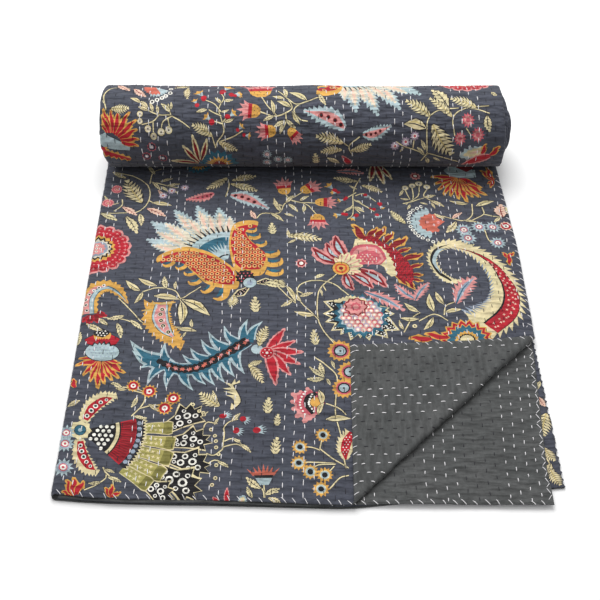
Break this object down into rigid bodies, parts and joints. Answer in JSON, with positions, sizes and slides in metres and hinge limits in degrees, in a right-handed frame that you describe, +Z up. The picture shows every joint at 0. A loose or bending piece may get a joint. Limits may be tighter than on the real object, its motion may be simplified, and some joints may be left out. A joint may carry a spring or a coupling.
{
  "type": "kantha quilt, folded in four and part rolled",
  "caption": "Thin hand-stitched cotton quilt, folded in four across its width and rolled up from its far end, with one near corner of the top layer turned back.",
  "frame": {"origin": "on the underside, in the middle of the folded width and 0.38 m behind the near hem", "axes": "+X across the folded quilt, +Y from the near hem towards the roll, +Z up"},
  "size_m": [0.7004, 0.7697, 0.1489],
  "materials": {
    "printed_cotton": "matte block-printed cotton, slate ground with red, gold, cream and pink flowers",
    "grey_cotton": "matte plain dark grey cotton"
  },
  "bodies": {
    "root": {"printed_face": "printed_cotton", "grey_backing": "grey_cotton", "rolled_end": "printed_cotton"}
  },
  "joints": []
}
